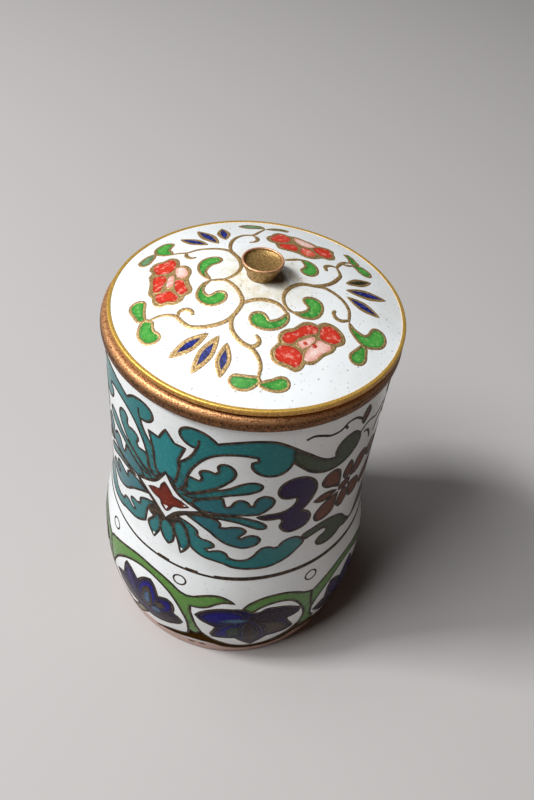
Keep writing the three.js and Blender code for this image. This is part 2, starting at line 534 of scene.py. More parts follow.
def make_vessel():
    """The enamelled shell with its floor; its inner faces carry the counter enamel."""
    outer = [(r - ENAMEL_INSET, z) for z, r in stretch_of(wall_radius, 0.5, WALL_TOP, 60)]
    inner = [(r - WALL_THICKNESS, z) for z, r in stretch_of(wall_radius, WALL_TOP, FLOOR_TOP + 2.5, 40)]
    foot_radius = outer[0][0]
    profile = [(0, FOOT_RECESS), (FOOT_INNER, FOOT_RECESS), (FOOT_INNER + 0.3, 0), (foot_radius - 0.3, 0)]
    profile += outer + inner
    corner = inner[-1]
    profile += [(corner[0] - 0.35, corner[1] - 1.3), (corner[0] - 1.3, FLOOR_TOP + 0.2),
                (corner[0] - 2.6, FLOOR_TOP), (0, FLOOR_TOP)]
    bm = turned(profile)
    for face in bm.faces:
        middle = face.calc_center_median()
        radius = math.hypot(middle.x, middle.y) / MM
        height = middle.z / MM
        inside = radius < wall_radius(height) - WALL_THICKNESS / 2
        underneath = height < FOOT_RECESS + 0.1 and radius < FOOT_INNER + 0.2
        face.material_index = 1 if (inside and height > FLOOR_TOP - 0.5) or underneath else 0
    return finish_piece("enamel_wall", bm, wall_white, lining_enamel)


vessel = make_vessel()
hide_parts("vessel")

# %% [markdown]
# ### The metal band at the mouth
#
# A half-round copper strip soldered over the raw edge of the wall. Its crown is brushed, and it is
# painted lighter as a painted highlight where it faces up. The foot of its outer face is darker
# brown, partly patina and partly painted shade.

# %% Rim band
RIM_INNER = 23.9
RIM_FLAT = 25.3


def make_rim_band():
    bulge = WALL_TOP + (RIM_TOP - WALL_TOP) * 0.35
    profile = [(RIM_INNER, WALL_TOP), (RIM_RADIUS - 0.3, WALL_TOP), (RIM_RADIUS - 0.1, WALL_TOP + 0.2)]
    for step in range(11):
        angle = math.radians(9 * step)
        profile.append((RIM_FLAT + (RIM_RADIUS - RIM_FLAT) * math.cos(angle),
                        bulge + (RIM_TOP - bulge) * math.sin(angle)))
    profile.append((RIM_INNER, RIM_TOP))
    return finish_piece("copper_rim_band", turned(profile), rim_copper)


rim_band = make_rim_band()
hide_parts("rim_band")

# %% [markdown]
# ### The lid
#
# A low dome of the same sheet and enamel, set in a polished brass edge whose lower part drops
# into the mouth. The dome is a little more peaked than a round cap.

# %% Lid dome and its edge ring
DOME_THICKNESS = 1.3
DOME_RADIUS = 25.0
RING_LEDGE_TOP = RING_TOP - 1.0
SPIGOT_RADIUS = 23.0
SPIGOT_FOOT = RING_TOP - 3.5


def make_lid_dome():
    top = [(r, z - ENAMEL_INSET) for r, z in stretch_of(dome_height, DOME_RADIUS, KNOB_SEAT, 40)]
    under = [(r, z - DOME_THICKNESS) for r, z in stretch_of(dome_height, KNOB_SEAT, DOME_RADIUS - 2.5, 24)]
    profile = [(0, under[0][1]), *under, (DOME_RADIUS - 1.6, RING_LEDGE_TOP), (DOME_RADIUS, RING_LEDGE_TOP),
               *top, (0, top[-1][1])]
    bm = turned(profile, lid_centre)
    for face in bm.faces:
        middle = face.calc_center_median() / MM
        radius = math.hypot(middle.x - lid_centre.x, middle.y)
        underside = middle.z < dome_height(max(radius, KNOB_SEAT)) - DOME_THICKNESS / 2
        face.material_index = 1 if underside and radius < DOME_RADIUS - 1.7 else 0
    return finish_piece("enamel_lid_dome", bm, lid_white, lining_enamel)


def make_edge_ring():
    rounding = 0.25
    foot = RING_TOP - 1.3
    profile = [(SPIGOT_RADIUS - 0.4, SPIGOT_FOOT), (SPIGOT_RADIUS, SPIGOT_FOOT), (SPIGOT_RADIUS, foot),
               (RING_RADIUS - 0.55, foot), (RING_RADIUS - 0.45, foot + 0.12),
               (RING_RADIUS - 0.12, foot + rounding), (RING_RADIUS, foot + 0.42)]
    for step in range(7):
        angle = math.radians(15 * step)
        profile.append((RING_RADIUS - rounding + rounding * math.cos(angle),
                        RING_TOP - rounding + rounding * math.sin(angle)))
    profile += [(DOME_RADIUS, RING_TOP), (DOME_RADIUS, RING_LEDGE_TOP), (SPIGOT_RADIUS - 0.4, RING_LEDGE_TOP)]
    return finish_piece("brass_edge_ring", turned(profile, lid_centre), edge_brass)


lid_dome = make_lid_dome()
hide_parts("lid_dome")
edge_ring = make_edge_ring()
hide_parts("lid_edge_ring")

# %% [markdown]
# ### The knob
#
# A small cup of cast brass, turned on the outside and left grainy in its dish.

# %% Knob
KNOB_STEPS = 96
KNOB_LIP = 0.42
KNOB_DISH = 0.9


def make_knob():
    lip = KNOB_LIP / 2
    height = KNOB_TOP - KNOB_FOOT
    side = smooth_through([(0, KNOB_RADIUS - 1.02), (0.35, KNOB_RADIUS - 0.67), (0.68, KNOB_RADIUS - 0.18),
                           (0.93, KNOB_RADIUS)])
    profile = [(0, KNOB_FOOT - 0.3), (side(0), KNOB_FOOT - 0.3)]
    profile += [(r, KNOB_FOOT + height * s) for s, r in stretch_of(side, 0, 0.9, 9)]
    for step in range(9):
        angle = math.radians(22.5 * step)
        profile.append((KNOB_RADIUS - lip + lip * math.cos(angle), KNOB_TOP - lip + lip * math.sin(angle)))
    dish_radius = KNOB_RADIUS - KNOB_LIP
    for step in range(1, 8):
        angle = math.radians(90 * step / 8)
        profile.append((dish_radius * math.cos(angle) ** 0.8,
                        KNOB_TOP - lip - (KNOB_DISH - lip) * math.sin(angle)))
    profile.append((0, KNOB_TOP - KNOB_DISH))
    return finish_piece("brass_knob", turned(profile, lid_centre, KNOB_STEPS), knob_brass)


knob = make_knob()
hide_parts("knob")

# %% [markdown]
# ## Drawing the inlay
#
# A maker bends each wire by hand, so every cell has its own outline. Each one is drawn flat, in
# millimetres, through the few points where it turns, joined by a smooth curve. A point marked !
# is a sharp tip. A cell is filled, cut into small tiles so that it can bend, given a little
# depth, and then laid on the dome or round the wall. The wires are swept along the same curves,
# flattened, and stand about a tenth of a millimetre proud at most, as ground wires do.

# %% Smooth outlines
LINE_STEP = 0.45


def trace(text):
    """Points in mm from text such as "1,2 3,4! 5,6"; ! marks a sharp corner."""
    points = []
    for word in text.split():
        x, y = word.rstrip("!").split(",")
        points.append((float(x), float(y), word.endswith("!")))
    return points


def smooth_line(points, closed):
    """Points every LINE_STEP mm along a smooth curve through the given ones."""
    places = [Vector(p[:2]) for p in points]
    count = len(places)

    def heading(i, ahead):
        """The curve's direction at point i, just ahead of it or just before it."""
        here, before, after = places[i], places[i - 1], places[(i + 1) % count]
        gap_in, gap_out = (here - before).length, (after - here).length
        way_in, way_out = (here - before) / gap_in, (after - here) / gap_out
        if points[i][2] or (not closed and i in (0, count - 1)):
            return way_out if ahead else way_in
        return (way_in * gap_out + way_out * gap_in) / (gap_in + gap_out)

    line = []
    for i in range(count if closed else count - 1):
        start, end = places[i], places[(i + 1) % count]
        reach = (end - start).length
        lead, tail = heading(i, True) * reach, heading((i + 1) % count, False) * reach
        steps = max(2, round(reach / LINE_STEP))
        for step in range(steps):
            t = step / steps
            blend = t * t * (3 - 2 * t)
            line.append(start * (1 - blend) + end * blend + lead * t * (1 - t) ** 2 - tail * t * t * (1 - t))
    if not closed:
        line.append(places[-1])
    return line

# %% Cells and wires, gathered by colour
CELL_TILE = 0.9            # a cell is cut into tiles this wide
CUT_TOLERANCE = 1e-4
CELL_DEPTH = 0.25
LEVEL_STEP = 0.012         # a cell lies this much higher for each level
WIRE_FLATTENING = 0.24


def as_drawn(x, y):
    return x, y


class Inlay:
    """Cells and wires drawn flat, to be laid on one surface."""

    def __init__(self):
        self.cells = {}
        self.wires = {}

    def cell(self, colour, outline, place=as_drawn, level=1, wire="wire"):
        """A closed cell of one enamel, with a wire round it unless wire is None."""
        line = [Vector(place(p.x, p.y)) for p in smooth_line(trace(outline), True)]
        self.cells.setdefault(colour, []).append((line, level))
        if wire:
            self.wires.setdefault(wire, []).append((line, True))

    def wire(self, course, place=as_drawn, wire="wire", closed=False):
        """A wire on its own, open or closed."""
        line = [Vector(place(p.x, p.y)) for p in smooth_line(trace(course), closed)]
        self.wires.setdefault(wire, []).append((line, closed))

    def ring(self, centre, radius, wire):
        """A small closed ring of wire."""
        steps = round(math.tau * radius / LINE_STEP)
        turn = [math.tau * i / steps for i in range(steps)]
        line = [Vector((centre[0] + radius * math.cos(a), centre[1] + radius * math.sin(a))) for a in turn]
        self.wires.setdefault(wire, []).append((line, True))


def cut_into_tiles(part, line):
    """Cuts a flat cell along a square grid, so that it can bend."""
    for axis in (0, 1):
        low, high = min(p[axis] for p in line), max(p[axis] for p in line)
        for step in range(math.floor(low / CELL_TILE) + 1, math.ceil(high / CELL_TILE)):
            cut = Vector((0, 0, 0))
            cut[axis] = step * CELL_TILE
            way = Vector((0, 0, 0))
            way[axis] = 1
            bmesh.ops.bisect_plane(part, geom=part.verts[:] + part.edges[:] + part.faces[:],
                                   dist=CUT_TOLERANCE, plane_co=cut, plane_no=way)


def fill_cell(bm, depth_layer, line, level):
    """Adds one filled and tiled cell, and notes each point's distance from the wire."""
    part = bmesh.new()
    layer = part.verts.layers.float.new("from_wire")
    corners = [part.verts.new((p.x, p.y, 0)) for p in line]
    edges = [part.edges.new((corners[i - 1], corners[i])) for i in range(len(corners))]
    bmesh.ops.triangle_fill(part, edges=edges, use_beauty=True, use_dissolve=False)
    cut_into_tiles(part, line)
    if sum(f.calc_area() for f in part.faces) == 0:
        raise ValueError(f"a cell near {line[0]} has no face")
    for vert in part.verts:
        flat = vert.co.to_2d()
        vert[layer] = min((flat - p).length for p in line)
        vert.co.z = LEVEL_STEP * level
    bmesh.ops.recalc_face_normals(part, faces=part.faces)
    if part.faces[0].normal.z < 0:
        bmesh.ops.reverse_faces(part, faces=part.faces)
    made = bmesh.ops.extrude_face_region(part, geom=part.faces[:])
    for item in made["geom"]:
        if isinstance(item, bmesh.types.BMVert):
            item.co.z = -CELL_DEPTH
    bmesh.ops.recalc_face_normals(part, faces=part.faces)
    known = {}
    for vert in part.verts:
        known[vert] = bm.verts.new(vert.co)
        known[vert][depth_layer] = vert[layer]
    for face in part.faces:
        bm.faces.new([known[v] for v in face.verts])
    part.free()


def lay(bm, surface):
    """Moves a flat bmesh, in mm, onto a surface given as a function of (x, y, lift)."""
    for vert in bm.verts:
        vert.co = surface(vert.co.x, vert.co.y, vert.co.z)
    return bm


def make_cells(name, cells, surface, material):
    bm = bmesh.new()
    layer = bm.verts.layers.float.new("from_wire")
    for line, level in cells:
        fill_cell(bm, layer, line, level)
    return finish_piece(name, lay(bm, surface), material)


def make_wires(name, lines, surface, material, radius, taper=0.0):
    """Sweeps a round section along each line and flattens it before it is laid down.

    An open wire narrows towards its ends by the share `taper`.
    """
    curve = bpy.data.curves.new(name, "CURVE")
    curve.dimensions = "3D"
    curve.twist_mode = "Z_UP"
    curve.bevel_depth = radius
    curve.bevel_resolution = 1
    curve.use_fill_caps = True
    for line, closed in lines:
        spline = curve.splines.new("POLY")
        spline.points.add(len(line) - 1)
        spline.points.foreach_set("co", [c for p in line for c in (p.x, p.y, 0, 1)])
        spline.use_cyclic_u = closed
        if taper and not closed:
            shares = [i / (len(line) - 1) for i in range(len(line))]
            spline.points.foreach_set("radius", [1 - taper * (2 * s - 1) ** 2 for s in shares])
    holder = bpy.data.objects.new(name + "_path", curve)
    mesh = bpy.data.meshes.new_from_object(holder)
    bpy.data.objects.remove(holder)
    bpy.data.curves.remove(curve)
    bm = bmesh.new()
    bm.from_mesh(mesh)
    bpy.data.meshes.remove(mesh)
    for vert in bm.verts:
        vert.co.z *= WIRE_FLATTENING
    bmesh.ops.recalc_face_normals(bm, faces=bm.faces)
    return finish_piece(name, lay(bm, surface), material)


def lay_inlay(name, inlay, surface, enamels, metals):
    """Makes one piece for each fill and each kind of wire; metals are (material, radius, taper)."""
    for colour, cells in inlay.cells.items():
        metal = colour.endswith("border")
        piece = make_cells(f"{name}_{colour}" + ("" if metal else "_enamel"), cells, surface, enamels[colour])
    for kind, lines in inlay.wires.items():
        make_wires(f"{name}_{kind}", lines, surface, *metals[kind])

# %% The two surfaces
WALL_PLAN_RADIUS = 26.0    # 1 mm of drawing is 1 mm round a wall of this radius


def slope_of(curve, at, reach):
    """A curve's slope at a place, taken over `reach` mm on both sides of it."""
    return (curve(at + reach) - curve(at - reach)) / (2 * reach)


def on_wall(x, y, lift):
    """x mm round the wall from the front, y mm up it, lift mm above its enamel."""
    angle = x / WALL_PLAN_RADIUS
    out = Vector((1, -slope_of(wall_radius, y, 0.5))).normalized()
    radius = wall_radius(y) - ENAMEL_INSET + lift * out.x
    return Vector((radius * math.sin(angle), -radius * math.cos(angle), y + lift * out.y)) * MM


def on_dome(x, y, lift):
    """x mm to the right and y mm behind the lid's centre, lift mm above its enamel."""
    radius = math.hypot(x, y)
    lean = slope_of(dome_height, radius, 0.25)
    out = Vector((-lean * x / radius, -lean * y / radius, 1)).normalized()
    foot = Vector((lid_centre.x + x, lid_centre.y + y, dome_height(radius) - ENAMEL_INSET))
    return (foot + out * lift) * MM

# %% [markdown]
# ### The coloured enamels
#
# Transparent and opaque glass in the cells. Where the wet grains met the wire the glass is a
# little thinner and darker, so each colour is also shaded by its distance from the wire.

# %% Coloured enamel
CELL_ROUGHNESS = 0.2


def cell_enamel(name, middle, edge, fleck, mottle=1.4, pool=0.55, gloss=0.2, flecks=0.6, fleck_size=0.55):
    """Enamel in a cell: `middle` colour, `edge` colour near the wire, and `fleck` patches.

    `pool` is how far in the edge's colour reaches, and `flecks` how strong the patches are.
    """
    material, tree, shader, place = new_material(name, Roughness=CELL_ROUGHNESS, Specular_IOR_Level=gloss)
    distance = add_node(tree, "ShaderNodeAttribute", {"attribute_name": "from_wire"})
    cloud = noise(tree, place, mottle, Detail=4.0, Roughness=0.6)
    wander = maths(tree, "MULTIPLY_ADD", cloud, 1.2 * pool, -0.6 * pool)
    inward = remap(tree, maths(tree, "ADD", (distance, "Fac"), wander), 0.1, pool + 0.1)
    base = add_node(tree, "ShaderNodeMix", {"data_type": "RGBA"}, Factor=inward, A=linear(edge),
                    B=linear(middle))
    some = remap(tree, noise(tree, place, fleck_size, Detail=3.0), 0.54, 0.72, to_high=flecks)
    feed(tree, tinted_where(tree, (base, "Result"), some, fleck), shader, "Base Color")
    add_relief(tree, shader, noise(tree, place, 2.5, Detail=2.0), strength=0.3, depth=0.2)
    return material


lid_enamels = {
    "green": cell_enamel("leaf_green_enamel", "50A044", "2A7430", "98CC7C", pool=0.7),
    "grey_green": cell_enamel("grey_green_enamel", "6A8E66", "3A5540", "94B08C"),
    "blue": cell_enamel("cobalt_blue_enamel", "2E3CA6", "1C2258", "6470C4"),
    "olive": cell_enamel("dark_olive_enamel", "4A4C36", "26261A", "8E9078"),
    "red": cell_enamel("coral_red_enamel", "CE3A2A", "B03024", "F0A08E", mottle=0.9, flecks=0.9,
                       fleck_size=0.8),
    "pink": cell_enamel("pale_pink_enamel", "EFC4B8", "DC9484", "FAE8E0", flecks=0.9, fleck_size=0.8),
    "rose": cell_enamel("rose_enamel", "DC6450", "C0422F", "F6BCAE", mottle=0.9, flecks=0.9, fleck_size=0.7),
}
print("lid enamels:", len(lid_enamels))

# %% [markdown]
# ## The lid's ornament
#
# Six scrolling stems run out from the knob, each with a pair of leaves at its end and all but
# one with a comma leaf curled inside its first turn. Between them sit three peonies and three
# sprays of pointed leaves. No two are alike, so each stem and flower is drawn on its own.

# %% Stems and leaves of the lid
lid_inlay = Inlay()


def lid_stem(courses, comma, leaves, colour="green"):
    """One scrolling stem: its wires, its comma leaf and the leaves at its end."""
    for course in courses:
        lid_inlay.wire(course, wire="stems")
    if comma:
        lid_inlay.cell("green", comma)
    for leaf in leaves:
        lid_inlay.cell(colour, leaf)


lid_stem(
    courses=["-8.2,-1.9 -6,-1.9 -4.5,-3 -2.9,-5.2 -2.4,-6.5 -3,-8.8 -4.5,-10.8 -5.8,-11.5 -8.5,-12.1 -10,-12 "
             "-11.2,-11.2 -12.8,-9.7 -15.5,-9.6 -17.2,-10.6",
             "-12.2,-9.7 -12.3,-9 -11.7,-8.5 -10.8,-8.5 -10.1,-9 -9.9,-9.7"],
    comma="-8.2,-1.9! -9.3,-2.6 -9.9,-4 -10,-5.3 -9.4,-6.6 -8.4,-7.4 -7.2,-7.7 -6,-7.3 -5.2,-6.5 -5.1,-5.7 "
          "-5.4,-5 -6.1,-4.7 -6.9,-4.8 -7.4,-5.3 -8,-5.6 -8.6,-5.2 -9.1,-4.3 -9,-3.2",
    leaves=["-17.2,-10.2! -17.9,-10.6 -18.2,-12 -18,-13.4 -17.2,-14.5 -16.2,-15.1 -15,-14.8! -14.4,-14 "
            "-14.8,-13.2 -15.6,-12.6 -16,-11.8 -16.2,-10.8",
            "-17.5,-10.2! -18.4,-10.5 -19.5,-9.3 -20.5,-7.8 -20.6,-6.8 -20,-6 -19.2,-5.8 -18.4,-6.2 "
            "-18.2,-7.2 -18,-8.6"])
lid_stem(
    courses=["-2.6,-7.5 -2,-6.9 -1,-6.3 0.5,-5.9 2,-5.85 3.4,-6.2 4.3,-6.9 5.1,-7.9",
             "-2.6,-7.5 -3.4,-9.6 -3.6,-11 -3.2,-12.5 -2.3,-13.7 -1.2,-14.6 -0.2,-15 0.8,-15.8 1.6,-17 "
             "2,-18.2 1.9,-19.5 1.9,-20.4",
             "-0.3,-14.9 0.6,-14.8 1.2,-14.2 1.1,-13.4 0.5,-12.8"],
    comma="5.2,-7.6! 5.3,-9 4.7,-10.2 3.6,-11.1 2.2,-11.5 0.8,-11.4 -0.4,-10.8 -0.8,-9.8 -0.5,-8.9 0.3,-8.5 "
          "1.3,-8.6 1.9,-9.2 2.3,-9.8 3.1,-9.6 4,-9 4.7,-8.2",
    leaves=["1.8,-19.9! 0.4,-20 -0.8,-20 -2,-20.1 -2.5,-20.9 -2,-21.8 -0.6,-22.3 0.8,-22 1.7,-21.2 2.2,-20.4",
            "2,-20.9! 3,-20.4 4,-20 5,-19.4 6,-19.3 6.6,-19.9 6.6,-20.7 5.8,-21.4 4.6,-21.7 3.3,-21.6 "
            "2.4,-21.3"])
lid_stem(
    courses=["15.2,-5.6 15.3,-4.3 15.2,-2.8 14.4,-1.2 13,0 10.5,0.8 9,0.4 7,-0.1 5.6,-1.2 4.6,-2.6 4.1,-4.2 "
             "4.3,-5.6 5.1,-6.8 6.4,-7.3",
             "15,-5.2 14.3,-5.7 13.4,-5.8 12.8,-5.3 12.6,-4.5 12.9,-4"],
    comma="6,-7.1! 7,-6.9 7.9,-6.3 8.4,-5.5 8.1,-4.9 7.5,-4.3 7.5,-3.6 8.2,-3 9.3,-2.8 10.3,-3.3 10.7,-4.5 "
          "10.5,-5.8 9.9,-6.9 8.9,-7.5 8,-7.65 6.8,-7.5",
    leaves=["15.4,-5.6! 16,-6.4 17,-7 18.2,-7.2 18.8,-6.6 19.2,-5.6 19.7,-4.9 20.5,-4.7 21.3,-5.2 21.7,-6.3 "
            "21.5,-7.6 20.8,-8.6 19.6,-9.2 18.4,-9.5 17.2,-9 16.2,-8 15.6,-7",
            "17.7,-9.4! 18.3,-9.7 18.4,-11 18.3,-12.4 17.6,-13.3 16.7,-13.5 15.9,-13 15.8,-12.2 16.4,-11.2 "
            "17.1,-10.3"])
lid_stem(
    courses=["12.8,9 13.2,7.8 13.5,6.4 13,4.9 12.2,3.3 11.2,2 10.2,1.2 9,0.5 7.2,0",
             "12.7,9 12,9 11.1,8.5 10.7,7.7 10.9,6.8 11,6.4",
             "3.5,6 4.8,6.9 6,7.6 7.2,7.9",
             "12.8,9 13.2,10.2 13.7,11.4 14.4,12.4 15.4,12.9", "13.7,11.2 14.6,11.3 15.8,12.1"],
    comma="6.4,7.5! 7.2,7.9 8.3,7.5 9.1,6.5 9.4,5.2 9.1,3.9 8.4,3.1 7.6,2.9 6.8,3.3 6.5,4 6.9,4.8 7.2,5.7 "
          "6.9,6.6",
    leaves=["14.3,15.9! 14.9,16.3 15.8,15.6 16.5,14.3 17,13.4 16.2,12.7! 15.4,13 15.2,14.2",
            "16,12.5! 17.5,12.8 18.8,12 19.3,11 19,10 18,9.8 17.1,10.4 16.5,11.4 15.8,12.2"])
lid_stem(
    courses=["-5.6,6.6 -6.2,8.4 -6.4,10 -6.3,12 -5.9,13.6 -5.2,14.8 -4.2,15.6 -3,15.9 -2.4,16.8 -2,18 "
             "-1.4,19.4 -1.1,20.4",
             "-3,15.8 -2.4,15.2 -1.9,14 -1.9,13 -2.4,12.2 -3.2,11.8"],
    comma=None, colour="grey_green",
    leaves=["-5.9,21 -5,22 -3,22.3 -1.8,22 -1.2,20.8! -2.5,20.3 -4.5,20",
            "-0.9,20.3! 0.5,21.6 2,22 3.3,21.6 3.2,20.8 1.8,20.8 0.5,20.5"])
lid_stem(
    courses=["-8.2,-1.9 -6,-1.8 -4.8,-1 -4,0 -3.6,1.5 -3.8,3 -4.3,4.5 -5.2,6 -6,7.3 -7,8 -8.5,8.5 -10.3,8.6 "
             "-12,8.4 -13.8,7.5 -15,7.6 -16.6,7.4",
             "-13.8,7.5 -13.7,6.5 -13.2,5.7 -12.4,5.3 -11.8,5.6"],
    comma="-8.3,-1.7! -9.6,-0.6 -10.6,1 -10.9,2.8 -10.5,4.2 -9.6,5 -8.5,5.2 -7.5,4.8 -7.2,3.9 -7.6,3.1 "
          "-8.4,2.7 -9,2.1 -9.3,1.3 -9.4,0.4 -8.9,-0.6",
    leaves=["-16.3,7.4! -16.6,8.4 -17.2,9.4 -17,10.5 -16.8,11.5 -17.4,12.2 -18.4,12.2 -19.3,11.3 -19.8,10 "
            "-19.5,8.6 -18.8,7.8 -17.8,7.4"])
lid_inlay.cell("grey_green", "-19.6,8.3! -20.6,7.8 -21.4,6.7 -21.8,5.6 -21.5,4.8 -20.9,4.4 -20.1,4.7 "
                             "-19.7,5.8 -19.4,7.2")

# %% [markdown]
# ### Sprays of pointed leaves
#
# Each leaf is a pointed oval of gilt metal with a narrow core of blue, or of olive in one. The
# metal is broad, so the core fills only the middle of it.

# %% Pointed leaves
def pointed_leaf(tip, other, width, core, colour):
    """A pointed oval between two tips, in mm, whose core fills a share of its length."""
    start, end = Vector(tip), Vector(other)
    along = end - start
    side = Vector((-along.y, along.x)).normalized() * width / 2

    def oval(length, breadth):
        places = []
        for way in (1, -1):
            for share in (-1, -0.62, 0, 0.62):
                at = start + along * (0.5 + way * share * length / 2)
                off = side * way * breadth * (1 - abs(share) ** 1.6)
                places.append((at.x + off.x, at.y + off.y, abs(share) == 1))
        return " ".join(f"{x:.2f},{y:.2f}{'!' if sharp else ''}" for x, y, sharp in places)

    lid_inlay.cell("leaf_border", oval(1, 1))
    lid_inlay.cell(colour, oval(core, 0.5 + core * 0.1), level=4, wire=None)


for leaf in (((-7, -13.3), (-12.2, -17.6), 2.0, 0.62, "blue"),
             ((-5.2, -13.7), (-8.3, -20.2), 2.1, 0.62, "blue"),
             ((-3.7, -14.9), (-4, -20.6), 2.0, 0.62, "blue"),
             ((-10.6, 10.5), (-15.8, 13.7), 1.9, 0.84, "blue"),
             ((-8.7, 11), (-13.3, 17.6), 2.1, 0.84, "blue"),
             ((-7.6, 12.9), (-9, 18.9), 2.0, 0.84, "blue"),
             ((14.7, 2.5), (21.8, 4.1), 2.1, 0.84, "blue"),
             ((14.9, 0.6), (20.5, -1.4), 2.0, 0.84, "blue"),
             ((14.7, 4.6), (19.1, 8), 1.7, 0.84, "olive")):
    pointed_leaf(*leaf)

# %% [markdown]
# ### The peonies
#
# Traditional peonies: a ragged outline, three or four red petals and one or two pink ones. The
# petals are separate cells, with broad gilt metal between them.

# %% Peonies
def peony(outline, petals):
    """The flower's outline filled with gilt metal, and its petals set into it."""
    lid_inlay.cell("leaf_border", outline)
    for colour, petal in petals:
        lid_inlay.cell(colour, petal, level=3, wire="petal_lines")


peony("-19.2,3.3 -18.6,4.6 -17.3,5 -16.3,5.8 -15.2,5.3 -14.6,4 -14.4,2.9! -13.3,2.8 -12.4,1.8 -12,0.5 "
      "-12.2,-1 -11.8,-2.5 -11.2,-3.7 -11.2,-4.7 -12.1,-5.3! -12.4,-6.4 -13.6,-7.1 -14.6,-6.9! -15.4,-7.3 "
      "-16.2,-7.2 -16.8,-6.5 -17.2,-5.2! -18,-4.2 -18.2,-2.5 -18.4,-1 -18.9,0.5! -18.6,1.8 -19.2,2.6",
      [("red", "-18.9,3 -18.4,4.3 -17.2,4.7 -16.2,5.5 -15.4,5 -14.9,3.8 -14.8,2.6 -15.2,1.4 -16.4,0.8 "
               "-17.8,0.9 -18.4,1.8"),
       ("pink", "-14.7,2.5 -13.5,2.5 -12.7,1.6 -12.3,0.4 -12.5,-0.6 -13.4,-0.9 -14.2,-0.2 -14.7,1"),
       ("red", "-18,0.3 -16.6,0.5 -15.8,-0.4 -16,-2.4 -16.5,-4 -17.4,-4 -17.9,-2.4"),
       ("pink", "-15.5,-0.1 -14.7,0.2 -14.4,-1.2 -14.5,-2.9 -15.3,-3.1 -15.7,-1.6"),
       ("red", "-14.2,-1.2 -13,-1.2 -12.3,-2.6 -11.6,-3.9 -11.9,-4.9 -13,-5 -13.8,-4 -14.2,-2.6"),
       ("red", "-16.9,-4.5 -15.8,-4.1 -14.6,-3.8 -13.6,-4.8 -12.8,-5.6 -13.4,-6.7 -14.6,-6.5 -15.5,-6.9 "
               "-16.4,-6.3")])
peony("12.3,-7.5 13.4,-7.9 14.6,-9.4 14.6,-10.2 13.3,-11.4! 13,-12.3 11.3,-14 10.6,-15 9.8,-15.8 8.6,-16! "
      "8.2,-17 7.3,-17.7 6.2,-17.4 5.2,-17.2 4.2,-17 3.5,-16.2 3.4,-15 4,-14.1 4.4,-13.4! 4.2,-12.6 "
      "4.5,-11.6 5.3,-10.9 6.4,-10.4 7.2,-9.5 8,-8.7 9,-8.4 10.2,-8.6! 10.6,-8.1 11.3,-7.6",
      [("red", "12.2,-7.8 13.2,-8.2 14.2,-9.5 14.1,-10.3 13,-11.2 11.8,-11.5 10.7,-10.9 10.5,-9.6 10.9,-8.4"),
       ("red", "4.6,-12.6 4.9,-11.6 6.5,-10.6 7.6,-9.4 9,-8.7 10.2,-8.9 10.3,-9.9 9,-10.8 7.4,-11.9 "
               "6.4,-13.2 5.3,-13.4"),
       ("pink", "10.4,-11.3 12.4,-11.5 12.7,-12.2 11.3,-13.7 10.4,-15 9.4,-15.7 8.5,-15.6 8.5,-14.2 "
                "9.3,-12.7"),
       ("pink", "7.1,-12.9 8.1,-11.8 9.9,-10.9 10,-11.8 9,-13.1 7.9,-13.7"),
       ("red", "3.8,-15 4.5,-13.9 6,-13.6 7.3,-13.9 8.2,-14.8 8.1,-16.4 7.3,-17.3 6.2,-17 5.3,-16.9 "
               "4.3,-16.6")])
peony("0,16 0.6,17 1.2,18.5 2,19 3,18.6 3.8,18.2! 5.4,18.2 6.5,17.5 8,16.8 9,16! 10.2,16.2 11.3,16.2 12,15.6 "
      "12,14.5 12.3,13 12.1,12 11.3,11.2! 10,11.1 9.3,10.4 8.3,9.6 7.2,9.4 6.2,10 5,10.4 3.6,10.5 2.4,10.7 "
      "1.9,11.8 1.6,13! 0.6,13.4 0,14.3",
      [("red", "0.3,15.9 0.9,16.9 1.5,18.2 2.2,18.6 3.3,18 4.1,16.6 3.9,15 3,13.9 1.8,13.6 0.8,14"),
       ("pink", "4.6,17.9 6.3,17.2 7.9,16.4 8.8,15.5 8.2,14.4 7,14 5.6,14.8 4.7,16.2"),
       ("red", "8.3,13.8 8.9,15.2 10.2,15.8 11.2,15.8 11.7,14.5 12,13 11.6,12 10.5,11.6 9.2,12.2"),
       ("red", "2.2,11.9 2.2,13 3.6,13.6 5,13.8 5.6,12.6 5.4,10.9 3.8,10.8 2.6,11"),
       ("rose", "6,11.9 6.2,13.2 7.6,13.4 8.4,12.6 9,11.6 8.2,10.1 7.2,9.8 6.2,10.4")])

lid_inlay.cell("rose", "7.9,-12.6 8.5,-12.2 8.8,-12.6 8.3,-12.9", level=4, wire=None)
lid_inlay.cell("red", "9.3,-12.7 10,-12.2 10.4,-12.5 9.9,-13", level=4, wire=None)
lid_enamels["leaf_border"] = gilt_wire
# each kind of wire has its metal, its radius in mm and, for stems, how much its ends narrow
lid_metals = {"stems": (gilt_wire, 0.42, 0.4), "wire": (gilt_wire, 0.27), "petal_lines": (gilt_wire, 0.2)}
lay_inlay("lid", lid_inlay, on_dome, lid_enamels, lid_metals)

# %% [markdown]
# ## The upper register of the wall
#
# Two medallions face each other across the box. Each is a four-pointed white star with a
# brick-red heart, a tulip above it, three hanging petals below, and on both sides the same fan
# of curled leaves, a long scroll above, an acanthus below, and a purple volute with a small
# rust-coloured flower. Half a panel is drawn once and then mirrored and repeated.

# %% Where the half panels go
wall_inlay = Inlay()
MEDALLION_X = -11.7
GIRTH = math.tau * WALL_PLAN_RADIUS
HALF_PANEL = GIRTH / 4


def placed(centre, side):
    """Moves a drawing made round MEDALLION_X to another centre, mirrored if side is -1."""
    return lambda x, y: (centre + side * (x - MEDALLION_X), y)


